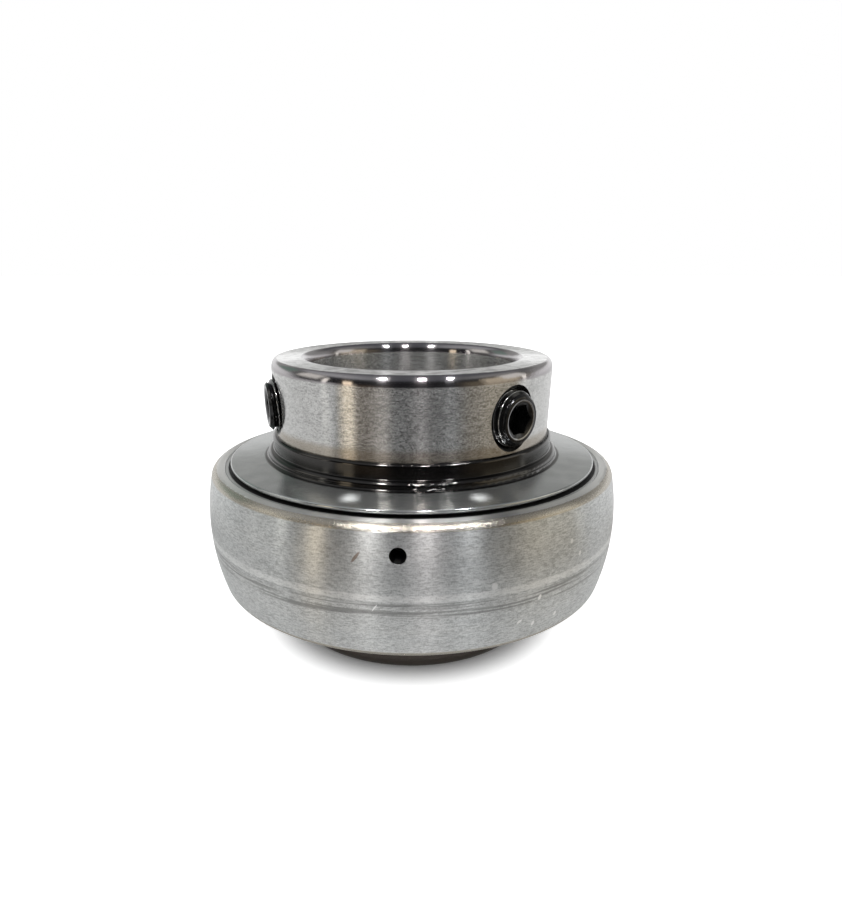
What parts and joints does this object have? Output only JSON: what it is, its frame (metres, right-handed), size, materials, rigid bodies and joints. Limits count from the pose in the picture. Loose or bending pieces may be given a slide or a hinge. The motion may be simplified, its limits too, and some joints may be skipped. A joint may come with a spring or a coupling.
{
  "type": "insert bearing",
  "caption": "Wide inner ring ball bearing with a spherical outer ring, metal flingers, rubber seals and set screws in its collar, to be clamped on a shaft in a self-aligning housing.",
  "frame": {"origin": "on the bore axis, in the plane of the foot: the narrow end of the inner ring", "axes": "+Z along the bore axis towards the set-screw collar, -Y towards the front of the picture, +X right"},
  "size_m": [0.052, 0.052, 0.0341],
  "materials": {
    "inner_ring_steel": "ground bearing steel",
    "outer_ring_steel": "ground bearing steel",
    "flinger_steel": "pressed sheet steel, polished",
    "shield_steel": "pressed sheet steel, satin",
    "cage_steel": "pressed strip steel",
    "rivet_steel": "bright steel wire",
    "ball_steel": "lapped bearing steel",
    "screw_steel": "black oxide, glossy",
    "seal_rubber": "black nitrile rubber"
  },
  "bodies": {
    "inner": {"inner_ring": "inner_ring_steel", "flinger_upper": "flinger_steel", "flinger_lower": "flinger_steel"},
    "outer": {"outer_ring": "outer_ring_steel", "seal_shield_upper": "shield_steel", "seal_lip_upper": "seal_rubber", "seal_shield_lower": "shield_steel", "seal_lip_lower": "seal_rubber"},
    "cage": {"cage_upper": "cage_steel", "cage_lower": "cage_steel", "cage_rivets": "rivet_steel"},
    "ball_1": {"ball_1": "ball_steel"},
    "ball_2": {"ball_2": "ball_steel"},
    "ball_3": {"ball_3": "ball_steel"},
    "ball_4": {"ball_4": "ball_steel"},
    "ball_5": {"ball_5": "ball_steel"},
    "ball_6": {"ball_6": "ball_steel"},
    "ball_7": {"ball_7": "ball_steel"},
    "ball_8": {"ball_8": "ball_steel"},
    "ball_9": {"ball_9": "ball_steel"},
    "set_screw_right": {"set_screw_right": "screw_steel"},
    "set_screw_left": {"set_screw_left": "screw_steel"}
  },
  "joints": [
    {"name": "outer_spin", "type": "hinge", "parent": "inner", "child": "outer", "pos_m": [0, 0, 0.0143], "axis": [0, 0, 1], "continuous": true},
    {"name": "cage_spin", "type": "hinge", "parent": "inner", "child": "cage", "pos_m": [0, 0, 0.0143], "axis": [0, 0, 1], "continuous": true},
    {"name": "ball_1_spin", "type": "hinge", "parent": "cage", "child": "ball_1", "pos_m": [0.01495, 0.01255, 0.0143], "axis": [0, 0, 1], "continuous": true},
    {"name": "ball_2_spin", "type": "hinge", "parent": "cage", "child": "ball_2", "pos_m": [0.00339, 0.01922, 0.0143], "axis": [0, 0, 1], "continuous": true},
    {"name": "ball_3_spin", "type": "hinge", "parent": "cage", "child": "ball_3", "pos_m": [-0.00976, 0.0169, 0.0143], "axis": [0, 0, 1], "continuous": true},
    {"name": "ball_4_spin", "type": "hinge", "parent": "cage", "child": "ball_4", "pos_m": [-0.01834, 0.00668, 0.0143], "axis": [0, 0, 1], "continuous": true},
    {"name": "ball_5_spin", "type": "hinge", "parent": "cage", "child": "ball_5", "pos_m": [-0.01834, -0.00668, 0.0143], "axis": [0, 0, 1], "continuous": true},
    {"name": "ball_6_spin", "type": "hinge", "parent": "cage", "child": "ball_6", "pos_m": [-0.00976, -0.0169, 0.0143], "axis": [0, 0, 1], "continuous": true},
    {"name": "ball_7_spin", "type": "hinge", "parent": "cage", "child": "ball_7", "pos_m": [0.00339, -0.01922, 0.0143], "axis": [0, 0, 1], "continuous": true},
    {"name": "ball_8_spin", "type": "hinge", "parent": "cage", "child": "ball_8", "pos_m": [0.01495, -0.01255, 0.0143], "axis": [0, 0, 1], "continuous": true},
    {"name": "ball_9_spin", "type": "hinge", "parent": "cage", "child": "ball_9", "pos_m": [0.01952, 0, 0.0143], "axis": [0, 0, 1], "continuous": true},
    {"name": "set_screw_right_feed", "type": "slide", "parent": "inner", "child": "set_screw_right", "axis": [-0.6481, 0.7615, 0], "range_m": [-0.00225, 0.00075]},
    {"name": "set_screw_left_feed", "type": "slide", "parent": "inner", "child": "set_screw_left", "axis": [0.9494, 0.314, 0], "range_m": [-0.00225, 0.00075]}
  ],
  "couplings": [
    {"joint": "cage_spin", "follows": "outer_spin", "ratio": 0.60243},
    {"joint": "ball_1_spin", "follows": "outer_spin", "ratio": 2.3559},
    {"joint": "ball_2_spin", "follows": "outer_spin", "ratio": 2.3559},
    {"joint": "ball_3_spin", "follows": "outer_spin", "ratio": 2.3559},
    {"joint": "ball_4_spin", "follows": "outer_spin", "ratio": 2.3559},
    {"joint": "ball_5_spin", "follows": "outer_spin", "ratio": 2.3559},
    {"joint": "ball_6_spin", "follows": "outer_spin", "ratio": 2.3559},
    {"joint": "ball_7_spin", "follows": "outer_spin", "ratio": 2.3559},
    {"joint": "ball_8_spin", "follows": "outer_spin", "ratio": 2.3559},
    {"joint": "ball_9_spin", "follows": "outer_spin", "ratio": 2.3559}
  ]
}
